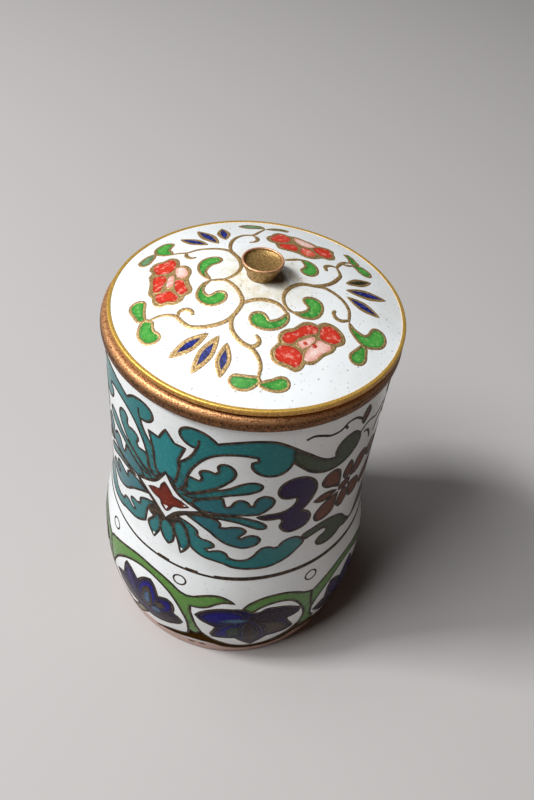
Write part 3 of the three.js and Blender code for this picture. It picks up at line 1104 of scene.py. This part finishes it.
# %% The star, the tulip and the hanging petals
def draw_medallion(place):
    wall_inlay.cell("teal_bright", "-9.9,55.3 -9.4,57 -9.1,59 -9.2,61.5 -8.7,63 -8,65! -10,65.1! -10.7,66 "
                                   "-11.7,67.4! -12.5,65.9 -13.1,64.6! -15.4,64.7! -14.7,62 -14.3,60 "
                                   "-14.2,58 -13.8,56 -12.7,54.8 -11.7,56.3!", place)
    wall_inlay.cell("star_border", "-11.7,57! -9,52.7 -4,49.6! -8.6,46.2 -11.6,42.5! -14.9,46.1 -18.8,50! "
                                   "-14.6,52.7", place, level=2, wire=None)
    for joint in ("-15.8,42.2 -15.3,44.6 -13.6,46.2! -11.6,43! -9,45.6! -7.6,44.4 -8.6,43.4 -9.6,41.4 "
                  "-12,41.6 -14.6,41.4",
                  "-20,51.2 -19,52 -17.6,50.6 -16.4,48.4 -17.6,48.2 -19,49.6",
                  "-5.2,49.4 -2.4,49.2 -1.4,48.4 -3.4,48 -5.4,48.6"):
        wall_inlay.cell("star_border", joint, place, level=0.5, wire=None)
    wall_inlay.cell("white", "-11.7,56.3! -9.5,52.4 -5,49.6! -9.4,46.9 -11.7,43.6! -14.4,46.9 -18,50! "
                             "-14.1,52.3", place, level=4)
    wall_inlay.cell("brick", "-11.9,53.8! -10.9,52.4 -10.1,51 -8.7,50.6 -7,49.7! -8.7,48.6 -10.1,48.1 "
                             "-10.8,46.8 -11.6,45.8 -12.6,46.8 -13,48.1 -14.2,48.5 -15.7,49.6! -14.4,50.6 "
                             "-13.1,51 -12.7,52.4", place, level=5)
    wall_inlay.cell("white", "-12.1,47.2! -11.2,47.3! -11.6,46.2!", place, level=7, wire=None)
    wall_inlay.cell("white", "-8,49.9 -7.5,49.7 -8,49.6", place, level=7, wire=None)
    for petal, tip in (("-14.8,41 -16,38.4 -15.4,37 -14.4,35.5! -13.8,37 -13.2,38.5 -12.9,41 -13.6,43.6!",
                        "-14.7,36.7 -14.4,35.9! -14.15,36.7"),
                       ("-12.9,41.5 -12.8,39 -12.2,37.3 -11.1,36! -10.2,37.2 -9.9,39 -10.2,41.5 "
                        "-11.6,43.4!", None),
                       ("-9.8,41 -9.2,38.8 -8.8,37.4 -8.3,35! -7.3,36.6 -6.7,38.2 -7,40.5 -7.7,43 -8.8,44.6! "
                        "-9.8,43.4", "-8.45,36.5 -8.3,35.6! -7.9,36.4")):
        wall_inlay.cell("teal", petal, place)
        if tip:
            wall_inlay.cell("white", tip, place, level=3, wire=None)


# %% Half a panel
def draw_scroll(place):
    """The long scroll above: teal as far as its lobe, then olive green out to the bud."""
    root = ("-9.1,59 -8.9,61.2! -7.5,62.8 -6.6,64.3 -6,66! -7.2,66.2 -8.2,66.8 -9,68 -8.8,69.3 -7.8,70.2 "
            "-6.2,70.4 -4.6,70 -3.2,69 -2.5,68.3! -1,68.9 1,69.5 3,69.9 4.8,70 6.8,69.7 8.5,68.8 10,67.7")
    lobe = ("10.2,64.2! 9.6,62.8 8.5,61.6 6.8,61.2 5.2,61.6 4,62.5 3.3,63.8 3.3,64.7! 4.3,65.3 4.1,66! "
            "2,66.4 -0.5,66.2 -2.6,65.5 -4.2,64.3 -5.6,62.5 -6.7,60.5 -7.4,58.5! -7.7,57 -7.9,55.5 "
            "-9.2,53.5! -10,54.4 -9.5,56.5")
    bud = ("11.5,66.5 13,65.3 15,63.5 17,62.2 18.9,61.7! 18.6,62.6 18.7,64 19.4,65.3 20.8,66 22.3,65.9 "
           "23.5,65 24.4,63.4 24.3,61.8 23,60.2 21,59.1 19,58.8 17,59 15,59.8 13.5,60.8 12.3,62")
    wall_inlay.cell("teal", f"{root}! {lobe}", place, wire=None)
    wall_inlay.cell("olive", f"10,67.7! {bud} 10.2,64.2!", place, wire=None)
    wall_inlay.wire(f"{root} {bud} {lobe}", place, closed=True)
    wall_inlay.wire("-5.6,68.2 -5.7,66.8 -6,65.9", place)
    wall_inlay.wire("24.2,64.4 25.5,65.4 27,65.5 29.1,64.6", place)
    wall_inlay.wire("25.4,63.6 26.6,63.2 27.6,61.8 28.3,60", place)
    wall_inlay.wire("11.8,69.2 13,69.7 14.5,69.3 16.5,68.5 18.5,68.7 20,69.8 21.5,69.8 23,68.8 "
                    "24,67.9", place)
    wall_inlay.wire("19.3,69.3 19.9,68.3", place)
    wall_inlay.cell("rust", "24.8,70.6! 25.7,69 25.2,67.5 24.5,66.5! 23.8,67.6 23.9,69.2", place)


FAN_LEAVES = (
    # the first leaf is a strip of teal along the star's edge, painted darker as painted shade between the
    # star and the leaves
    ("teal_painted_shade", "-11.4,56! -9.4,52.5 -4.8,49.6! -2.6,50 -4.2,51.8 -6.2,53.4 -8.2,54.6 -9.6,55.4"),
    ("teal", "-9,53.6! -7.6,55.5 -7.6,57 -7.3,58.3! -6,58.1 -5.2,58! -4.8,59 -5.3,60 -4.8,60.9 -3.8,61.2 "
             "-2.6,60.9! -2,61.6 -2.2,62.7 -1.7,63.5 -0.7,63.6 0.3,62.9 0.8,61.6 0.4,60.2 -0.5,59 -1.5,57.8 "
             "-2.8,56.7! -5,55.2 -6.5,54.2"),
    ("teal", "-8.4,52.7! -6.3,54 -3.8,55.7 -2.8,56.4! -1.5,56.8 0,57.6 1.5,58.7 3.2,59.5 4.6,59.4 5.5,58.6 "
             "5.2,57.6 4,56.9 2.2,56.3 0.2,55.8 -1.5,55 -3.5,54 -6,52.8"),
    ("teal_blue", "-6.6,51.2! -5.8,52.4 -3.8,53.6 -2.2,54.4 -1,54.6! -0.8,53.3 -0.4,52.3! 0.3,52.5 0.8,53.4 "
                  "1.3,54.3 2.2,54.7 3.2,54.2 3.8,53.2 4.4,53.1! 4.6,54.2 5.1,55.3 6,55.8 7.2,55.4 7.9,54.4 "
                  "7.7,53 6.9,51.9 5.5,50.7! 2,50.4 -1,50.1 -4.6,49.9!"),
    ("teal", "-4.2,49.2! -1,49.6 2,49.8 4,49.3 5.8,48.4 7,47.2 7.1,46.4 6,46.3 4.8,46.8 3.5,47.5 2,48.2 "
             "0,48.6 -2,48.8"),
    ("teal_blue", "-7.4,47.2! -6,48 -4,48.5 -2,48.2 -1.2,47.4 -1.2,46.1! 0,46.3 1.4,46.8 2.8,46.6 3.5,45.8 "
                  "3.2,44.9 2.6,44.2 2.3,43.6! 2.9,43.4 3.6,44 4.6,44.4 5.7,44 6.3,43 6,41.9 5,41 3.5,40.5 "
                  "1.8,40.8 0,41.6 -1.5,42.8 -2.8,44.2 -4.5,45.5 -6,46.5"),
    ("teal", "-9.9,45.8! -8.2,45.5 -6.3,44.6 -5.3,43.6 -5.2,42.3! -4.4,41.5 -3.2,41.4 -2.3,40.9 -2,39.9 "
             "-2.8,39.2 -3.5,38.7! -2.9,38.1 -2,38.5 -0.8,38.9 0.3,38.3 0.8,37.2! 1.5,36.8 3,36.5 4.5,36.9 "
             "5.6,38 6.2,39.2 7,40.2 8,40.4 9.2,39.8! 10,39.9 10.6,41 11.8,41.8 13.2,41.8 14.3,41 15,40.2 "
             "15.2,39 14,37.5 12.5,36 10.5,34.9 8.5,34.2 6,34 3.5,34.1 1.5,34.5 0,35.2 -1.8,35.7 -3.4,36 "
             "-5,36.8 -6.6,38.2! -6.9,40.5 -7.5,43.2 -8.6,44.8"),
    ("olive", "14.8,41.3 17,42.4 20,42.7 22.5,41.9 24.8,40.2 26.4,38 28,36 29.1,35.2 27,35.2 25.3,35.6 "
              "24,35 22,34.7 20,35.1 18.8,36 18.5,37.2 19.2,38.1 20.4,38.5 20.7,39.6 19.8,40.3 17.5,40.2 "
              "15.4,39.8"),
    ("purple", "5.2,49.9! 7,50.4 8.8,50.5 10.5,51 11.8,52.2 12.2,53.4 12,54.2 10.8,54.3 9.4,54.8 8.6,56 "
               "8.5,57.4 9.2,58.8 10.6,59.6 12.5,59.6 14.2,58.6 15.4,56.9 15.8,55 15.3,52.8 14.3,51 "
               "13.4,50! 14.7,49 15.5,47.6 15.6,46.2 14.8,44.8 13.2,44.1 11.5,44.2 10.3,45.2 9.7,46.6 10,48 "
               "9.7,48.8 8,48.9 6.5,49.1"),
    ("rust", "21.4,52! 20,53 18.2,53.8 17,55.6 17.6,57.2 19.2,57.9 20.6,57 21.2,55"),
    ("rust", "23.2,52.6! 22.2,54.5 22.6,56.4 23.4,57.6! 24.4,56 24.6,54"),
    ("rust", "24.4,52.4! 25.2,54.6 25.8,56.6 27.4,57.2 28.8,56 28.4,53.8 26.6,52.2"),
    ("rust", "21,51! 19.4,51.9 17.4,52 15.9,51! 17.4,50.1 19.4,50.1"),
    ("rust", "21.6,50! 19.4,49.6 17.6,48.2 16.7,46.2 17.4,44.4 19.4,44 21,45 21.4,47.4"),
    ("rust", "23,50.2! 22.2,48 22,46 23.4,44.6 24.6,46 24.6,48.4"),
    ("rust", "24.6,50.2! 25,47.4 26.4,45 28,45 28.8,46.6 28.2,48.6 26.6,50"),
    ("rust", "22.8,52.3 21.8,51.8 21.8,50.6 22.8,50.3 24.2,50.6 24.6,51.4 24,52.2"),
)

for centre in (MEDALLION_X, MEDALLION_X + 2 * HALF_PANEL):
    draw_medallion(placed(centre, 1))
    for side in (1, -1):
        draw_scroll(placed(centre, side))
        for colour, outline in FAN_LEAVES:
            # the teal strip painted darker as painted shade along the star gets no wire of its own
            edge = None if colour == "teal_painted_shade" else "wire"
            wall_inlay.cell(colour, outline, placed(centre, side), wire=edge)
print("upper register:", {colour: len(cells) for colour, cells in wall_inlay.cells.items()})

# %% [markdown]
# ## The waist and the lower register
#
# A wire runs round the waist, doubled for part of the way. Below it eight arches of green vine
# stand on brown feet, every second one holding a lotus and the others an iris, with small
# rings of wire between their tops.

# %% Waist wire
wall_inlay.wire("-81.6,31.8 -60,32.1 -34,32.1 -28,32 -22,31.6 -18,31.3 -14,31.2 -6,31 0,30.9 10,31.1 28,31 "
                "50,31.3 66,31.6 81.7,31.8")
for bit in ("-13,31.45 -11.6,31.5 -10.4,31.4", "-7,31.35 -5.8,31.35 -4.5,31.3",
            "-1.4,31.2 4,31.35 10,31.5 18,31.5 30,31.4 44,31.5 60,31.8"):
    wall_inlay.wire(bit)

# %% Arches
ARCHES = 8
FRONT_ARCHES = 3
FRONT_START = -26.4
ARCH_SPAN = 21.9           # an arch on the front; those at the back share what is left
LAST_LEAN = 1.7            # the last arch ends this much before the first begins
BACK_SPAN = (GIRTH - FRONT_ARCHES * ARCH_SPAN - LAST_LEAN) / (ARCHES - FRONT_ARCHES)
LOW_ARCHES = range(2, 7)
LOW_RISE = 0.945           # how tall a low arch is beside the others
SMALL_RING_RADIUS = 1.25
SMALL_RING_HEIGHT = 27.5
SMALL_RING_SHIFTS = (0.7, -3.3, 0.4, 0.0, -1.2, 0.5, -0.6, 0.3)    # from where each arch starts


def arch_start(number):
    if number < FRONT_ARCHES:
        return FRONT_START + number * ARCH_SPAN
    return FRONT_START + FRONT_ARCHES * ARCH_SPAN + (number - FRONT_ARCHES) * BACK_SPAN


def arch_place(number, drawn_left):
    """Moves a drawing whose arch starts at drawn_left to arch `number`, and scales it to fit."""
    left = arch_start(number)
    scale = 1 if number < FRONT_ARCHES else BACK_SPAN / ARCH_SPAN
    rise = LOW_RISE if number in LOW_ARCHES else 1
    return lambda x, y: (left + (x - drawn_left) * scale, y * rise)


LOTUS_LEFT = FRONT_START
IRIS_LEFT = FRONT_START + ARCH_SPAN


def draw_lotus_arch(place, first):
    """The vine over a lotus, with its side leaf, and the brown foot where two arches meet.

    The first arch leans out to the left, where it meets the last one.
    """
    start, end = "-25.5,23.2! -24.4,23.9", "-24.9,15.9! -25.4,20.1"
    if first:
        start, end = "-27.3,21.6! -26.4,22.8 -25,23.7", "-25,16.4 -26.4,12.6! -27,17"
    wall_inlay.cell("vine", f"{start} -23,24.8 -20.5,26 -18,26.9 -16,27.1 -13.5,26.8 "
                    "-11,26.2 -9,25.2 -7.5,24.2 -6.2,23.8! -5,24 -3.3,24.9 -1.5,25.6 0,25.7 1.2,25.2 "
                    "2.9,23.8! 1.8,24 0.5,23.8 -0.5,23.2 -1.8,22 -3.3,21.2 -5.2,20.9! -5.2,19.5 -4.6,16.5 "
                    "-3.9,13.8 -3,11.4! -4,9.8 -5.4,11! -5.7,14.5 -6.7,17.5 -7.9,20.2 -9.3,22.2 -11.3,23.8 "
                    "-13.5,24.7 -15.5,24.9 -17.8,24.4 -20.2,23 -22.2,21 -23.8,18.8 " + end,
                    place)
    wall_inlay.cell("umber", "-5.4,11! -5.7,8.4 -8,7 -11,5.2 -13.4,3.1! -12,3.8 -9,4.5 -4,5.4 -0.5,4.8 "
                             "1.5,3.6 4,2.9 8,2.7 12,2.9 15,3.7 17,5.5 18.6,7.6! 17.2,10 16.6,10.8! 15,8.3 "
                             "13.2,6.5 11,5 7,4.2 3,5.2 1,6.8 -1,8.6 -3,11.4! -4,9.8", place)


def draw_iris_arch(place):
    wall_inlay.cell("vine", "4.5,22! 5.5,23.5 7,24.6 9,25.3 11,25.4 13,25 15,24 16.7,22.8 18.3,22.2! "
                            "18.4,19 18.9,15 19.2,12 20.4,9.4 19.4,7.6! 18,7.8 16.8,10.8 17.2,13.5 17,16 "
                            "16.2,18.5 15.2,20.6 14,22 12.5,22.8 10.5,23 8.5,22.5 7.3,21.8 6.3,20.8!", place)
    wall_inlay.cell("umber", "16.8,8 14,6.6 11.4,4.6! 13.6,4.2 17,4.9 21,4.6 24.6,3.4! 24,5.4 21.6,7.2 "
                             "19.8,8.6", place)


def draw_lotus(place):
    wall_inlay.cell("indigo", "-24,14! -22.5,15.3 -21.3,16! -21.1,18 -20.9,20 -20.3,21.6! -19.3,21.3 "
                              "-18,20.2 -17,19.2! -16.3,20.5 -15.2,22 -13.8,22.9! -13,21.8 -12.3,20 "
                              "-12,18.6! -11,19.2 -9.8,19.7 -8.9,19 -8.5,17.5 -8.6,15.5! -7.6,14.8 "
                              "-6.7,13.4! -7.3,12 -8.5,10.8 -10,9.6 -12,8.6 -13.8,8.2 -15.5,9 -18,9 -20,9.5 "
                              "-21.5,10.5 -23,12.3", place)
    for colour, petal in (("smoke", "-23.4,13.8! -21,14.8 -18.6,13.6 -16.8,11 -18,9.8 -20.4,10.4 -22.2,12"),
                          ("indigo_grey", "-20.6,20.6! -20.6,17.6 -19.8,15.4 -17.6,13.2 -17.2,15.2 -18,18 "
                                          "-19.2,20.4"),
                          ("cobalt", "-13.9,22.2! -15.6,20.4 -16.6,17.6 -16,14.6 -14.6,12.4! -13,14.8 "
                                     "-12.5,17.6 -12.9,20.2"),
                          ("indigo_blue", "-9.4,19! -11.2,18.2 -12.4,16 -12.6,13.4! -10.6,14 -9.2,15.8 "
                                          "-8.9,17.6"),
                          ("smoke", "-7.2,13.5! -9,14.2 -11.2,13 -12.8,10.8 -11.4,9.6 -9.2,10.6")):
        wall_inlay.cell(colour, petal, place, level=3, wire="fine")
    for colour, heart in (("taupe", "-15.3,19 -14.2,20.2 -13.5,18.8 -13.2,16.4 -13.4,13.6 -14.6,11.4 "
                                    "-15.8,12.6 -16.1,15.6"),
                          ("taupe", "-12.2,16.4 -11,17.2 -10.3,16.2 -10.8,14.8 -12.2,14")):
        wall_inlay.cell(colour, heart, place, level=4, wire="fine")
    for core in ("-15,17.4 -14.2,18 -13.8,16.2 -14.2,13.6 -15.2,13.2 -15.5,15.2",
                 "-13.4,13.2 -12,14.2 -11.2,13.6 -12,12 -13.4,11.6"):
        wall_inlay.cell("slate", core, place, level=5, wire=None)
    for vein in ("-14.6,19.4 -14.6,16.8 -14.1,14.6",
                 "-19.6,18.4 -18.8,16 -17.8,14", "-21.4,13.2 -19.4,12.4 -17.8,11.2",
                 "-10.2,16.6 -11,15.2 -12,14.2", "-8.8,12.8 -10.4,12 -12,10.8"):
        wall_inlay.wire(vein, place, wire="fine")
    wall_inlay.cell("stem", "-17.3,8.9! -18.4,6.4 -20.2,4 -21.6,2.6! -18.4,2.6! -16.6,5.2 -14.8,8.4!", place)


def draw_iris(place):
    wall_inlay.cell("indigo", "-4.1,18.2! -3,19.8 -1.5,21 0.5,21.8 2.5,21.9 4.2,21.9 5.4,21.4! 6.5,20.6 "
                              "7.8,20.6 9,21.4 11,21.2 13,20.5 14.5,19.4 15.8,18 15.9,16.8 14.5,16 "
                              "13.2,15.8! 13.8,14 14.7,12 15.2,10.3! 13.8,9.5 12,9.4 10,9.5! 8.8,7.8 7.8,6 "
                              "7.2,5! 6.3,6.2 5.1,8 3.8,10! 1.5,9.9 -0.6,10! -1,11.5 -0.6,13 -0.1,14.8! "
                              "-1.5,15.7 -3,16.7", place)
    for colour, petal in (("indigo_blue", "-3.2,18.2! -1.8,19.8 0.4,20.9 2.6,21 4.2,20.2 4.8,18.6! 2.6,17 "
                                          "0,16.4 -1.8,16.8"),
                          ("smoke", "5.8,18.8! 7.6,19.9 9.4,20.6 12,20 14.6,18.4 15,17.2! 12.4,16.6 "
                                    "9.4,16.6 7,17.4"),
                          ("smoke", "5.8,17.6! 5.1,14 5.5,10 6.4,7.4 7.1,5.8! 7.8,8 8,11 7.3,15"),
                          ("indigo_blue", "4.6,17.2! 1.6,15.6 0.3,13.2 -0.1,10.7! 2.2,10.6 3.9,11.6 4,14.2"),
                          ("taupe", "6.8,17.2! 9,14.6 9.6,10.4! 12,10.2 14.4,10.6! 13,13.6 11,15.8")):
        wall_inlay.cell(colour, petal, place, level=3, wire="fine")
    wall_inlay.cell("moss", "2.2,14.6 3.8,15.6 4.4,13.8 4,11.2 2.6,10.9", place, level=4, wire=None)
    wall_inlay.cell("rust_line", "5.2,15.6! 6,12 6.3,8.4 7,7.4! 7.1,10 6.4,14", place, level=4, wire=None)
    wall_inlay.cell("slate", "0,17.3! 2,18.5 4,18.7 6.2,18.2! 4.6,17.2 2.2,16.9", place, level=4, wire="fine")
    for vein in ("5.4,16.8 4.4,13.4 4.2,10.4", "7.4,16.4 8.6,13.6 9,10.2", "8,17 10.4,14.4 11.4,11.4",
                 "2.4,15.4 1.6,13.4 1.4,11.4", "8.4,18.4 10.6,18.6 13,18"):
        wall_inlay.wire(vein, place, wire="fine")


for number in range(0, ARCHES, 2):
    draw_lotus_arch(arch_place(number, LOTUS_LEFT), number == 0)
    draw_lotus(arch_place(number, LOTUS_LEFT))
    draw_iris_arch(arch_place(number + 1, IRIS_LEFT))
    draw_iris(arch_place(number + 1, IRIS_LEFT))
for number, shift in enumerate(SMALL_RING_SHIFTS):
    wall_inlay.ring((arch_start(number) + shift, SMALL_RING_HEIGHT), SMALL_RING_RADIUS, "ring")
for mark in ("-6,2.9 -5.1,3.6 -4.2,3.2 -5,2.5", "-3.6,3.1 -2.7,3.5 -1.9,3 -2.9,2.6"):
    wall_inlay.cell("rust", mark, wire=None)
print("wall inlay:", sum(len(c) for c in wall_inlay.cells.values()), "cells,",
      sum(len(w) for w in wall_inlay.wires.values()), "wires")

# %% Lay the wall's inlay
wall_enamels = {
    "teal": cell_enamel("teal_enamel", "0E6E70", "06383C", "2A8E88", mottle=2.2),
    # a darker copy of the teal: painted shade along the star's edge
    "teal_painted_shade": cell_enamel("shaded_teal_enamel", "0C6064", "063236", "1E7C78", mottle=2.2),
    "teal_bright": cell_enamel("bright_teal_enamel", "107A7E", "084A50", "2A9A92", mottle=2.2),
    "teal_blue": cell_enamel("blue_teal_enamel", "10626C", "07363C", "1E8680", mottle=2.0),
    "olive": cell_enamel("olive_green_enamel", "46503A", "262A1E", "667052", mottle=2.4, gloss=0.1),
    "purple": cell_enamel("purple_enamel", "2A1240", "140820", "40246A", mottle=2.0, gloss=0.1),
    "rust": cell_enamel("rust_enamel", "6C3418", "3E1A0C", "96582E", mottle=1.6, gloss=0.1),
    "brick": cell_enamel("brick_red_enamel", "701E08", "481004", "944220", mottle=1.2, gloss=0.08),
    "white": wall_white,
    "vine": cell_enamel("vine_green_enamel", "588638", "304C1A", "86A062", mottle=2.0),
    "umber": cell_enamel("umber_enamel", "442C0E", "20140A", "5A3E1E", mottle=2.0, gloss=0.0),
    "stem": cell_enamel("moss_stem_enamel", "525628", "302A18", "767648", mottle=2.0, gloss=0.05),
    "indigo": cell_enamel("indigo_enamel", "1C1240", "0C0820", "302468", mottle=1.4, gloss=0.05),
    "indigo_blue": cell_enamel("violet_blue_enamel", "180E6C", "0C0638", "322C8C", mottle=1.2, gloss=0.05),
    "indigo_grey": cell_enamel("grey_violet_enamel", "2C2058", "160E2C", "5C5480", mottle=1.0, gloss=0.05),
    "cobalt": cell_enamel("lotus_blue_enamel", "1A1280", "0E0844", "38369C", mottle=1.0, gloss=0.05),
    "smoke": cell_enamel("smoky_violet_enamel", "30222E", "180E14", "564A50", mottle=1.0, gloss=0.05),
    "slate": cell_enamel("slate_blue_enamel", "4C6886", "28344E", "7C92A8", mottle=1.0, gloss=0.05),
    "taupe": cell_enamel("taupe_enamel", "4C3E34", "221812", "6E6054", mottle=1.0, gloss=0.05),
    "moss": cell_enamel("grey_moss_enamel", "344038", "161C18", "56625A", mottle=1.0, gloss=0.05),
    "rust_line": cell_enamel("dark_rust_enamel", "4C2A10", "2A1606", "6A4020", mottle=1.0, gloss=0.05),
    "star_border": dark_wire,
}
wall_metals = {"wire": (dark_wire, 0.285), "fine": (dark_wire, 0.15), "ring": (dark_wire, 0.2)}
lay_inlay("wall", wall_inlay, on_wall, wall_enamels, wall_metals)
